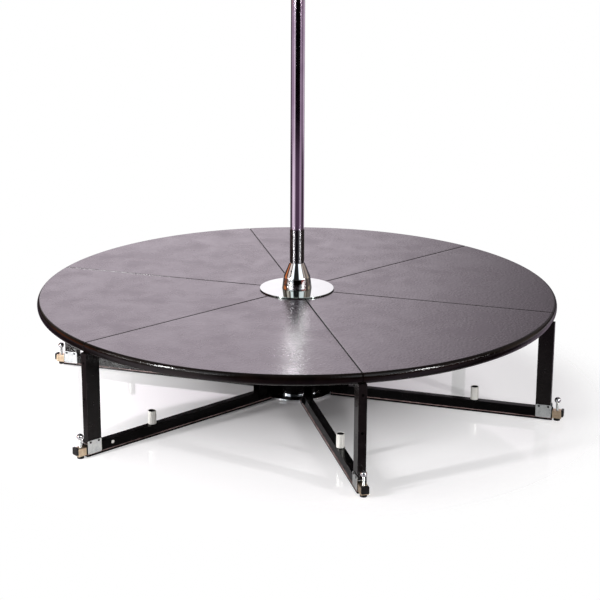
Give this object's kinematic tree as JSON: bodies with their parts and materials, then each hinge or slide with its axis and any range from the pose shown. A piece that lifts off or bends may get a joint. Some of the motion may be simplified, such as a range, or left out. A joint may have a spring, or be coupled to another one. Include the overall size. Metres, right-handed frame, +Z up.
{
  "type": "dance pole",
  "caption": "Free-standing dance pole: a spinning chrome pole on a round raised stage of wedge panels, carried by a radial steel frame with levelling feet.",
  "frame": {"origin": "centre of the hub's foot disc on the floor, on the pole's axis", "axes": "+Z up along the pole, -Y out along the first leg, with the other legs every 60 degrees round Z"},
  "size_m": [1.696, 1.7826, 2.8581],
  "materials": {
    "deck_film": "plywood panel faced with a finely textured black film, its rounded rim painted gloss black",
    "black_paint": "gloss black powder coat on steel tube and plate",
    "zinc_plate": "bright zinc-plated sheet, lightly brushed",
    "yellow_zinc": "machined block with a warm yellow plating",
    "chrome": "polished chrome",
    "pole_chrome": "polished chrome tube",
    "black_sleeve": "high-gloss black sleeve",
    "plain_steel": "turned steel"
  },
  "bodies": {
    "stage": {"deck_panel_1": "deck_film", "floor_beam_1": "black_paint", "upright_1": "black_paint", "deck_bearer_1": "black_paint", "saddle_bracket_1": "zinc_plate", "end_block_1": "yellow_zinc", "deck_panel_2": "deck_film", "floor_beam_2": "black_paint", "upright_2": "black_paint", "deck_bearer_2": "black_paint", "saddle_bracket_2": "zinc_plate", "end_block_2": "yellow_zinc", "deck_panel_3": "deck_film", "floor_beam_3": "black_paint", "upright_3": "black_paint", "deck_bearer_3": "black_paint", "saddle_bracket_3": "zinc_plate", "end_block_3": "yellow_zinc", "deck_panel_4": "deck_film", "floor_beam_4": "black_paint", "upright_4": "black_paint", "deck_bearer_4": "black_paint", "saddle_bracket_4": "zinc_plate", "end_block_4": "yellow_zinc", "deck_panel_5": "deck_film", "floor_beam_5": "black_paint", "upright_5": "black_paint", "deck_bearer_5": "black_paint", "saddle_bracket_5": "zinc_plate", "end_block_5": "yellow_zinc", "deck_panel_6": "deck_film", "floor_beam_6": "black_paint", "upright_6": "black_paint", "deck_bearer_6": "black_paint", "saddle_bracket_6": "zinc_plate", "end_block_6": "yellow_zinc", "hub_foot_disc": "chrome", "hub_drum": "chrome", "stage_disc": "chrome", "base_housing": "chrome", "hub_clevis_ring": "black_paint", "hub_channel_ring": "black_paint", "hub_top_plate": "plain_steel", "lower_bearing": "plain_steel", "upper_bearing": "plain_steel"},
    "pole": {"pole_collar": "chrome", "collar_screw": "plain_steel", "pole_sleeve": "black_sleeve", "pole_section_lower": "pole_chrome", "pole_section_upper": "pole_chrome", "pole_joint": "plain_steel", "pole_cap": "chrome"},
    "levelling_foot_1": {"levelling_foot_1": "chrome"},
    "levelling_foot_2": {"levelling_foot_2": "chrome"},
    "levelling_foot_3": {"levelling_foot_3": "chrome"},
    "levelling_foot_4": {"levelling_foot_4": "chrome"},
    "levelling_foot_5": {"levelling_foot_5": "chrome"},
    "levelling_foot_6": {"levelling_foot_6": "chrome"},
    "spin_lock_screw_1": {"spin_lock_screw_1": "plain_steel"},
    "spin_lock_screw_2": {"spin_lock_screw_2": "plain_steel"}
  },
  "joints": [
    {"name": "pole_spin", "type": "hinge", "parent": "stage", "child": "pole", "pos_m": [0, 0, 0], "axis": [0, 0, 1], "continuous": true},
    {"name": "foot_1_screw_down", "type": "slide", "parent": "stage", "child": "levelling_foot_1", "axis": [0, 0, -1], "range_m": [0, 0.022]},
    {"name": "foot_2_screw_down", "type": "slide", "parent": "stage", "child": "levelling_foot_2", "axis": [0, 0, -1], "range_m": [0, 0.022]},
    {"name": "foot_3_screw_down", "type": "slide", "parent": "stage", "child": "levelling_foot_3", "axis": [0, 0, -1], "range_m": [0, 0.022]},
    {"name": "foot_4_screw_down", "type": "slide", "parent": "stage", "child": "levelling_foot_4", "axis": [0, 0, -1], "range_m": [0, 0.022]},
    {"name": "foot_5_screw_down", "type": "slide", "parent": "stage", "child": "levelling_foot_5", "axis": [0, 0, -1], "range_m": [0, 0.022]},
    {"name": "foot_6_screw_down", "type": "slide", "parent": "stage", "child": "levelling_foot_6", "axis": [0, 0, -1], "range_m": [0, 0.022]},
    {"name": "spin_lock_1_screw_in", "type": "slide", "parent": "stage", "child": "spin_lock_screw_1", "axis": [0.866, 0.5, 0], "range_m": [0, 0.004]},
    {"name": "spin_lock_2_screw_in", "type": "slide", "parent": "stage", "child": "spin_lock_screw_2", "axis": [-0.866, -0.5, 0], "range_m": [0, 0.004]}
  ]
}
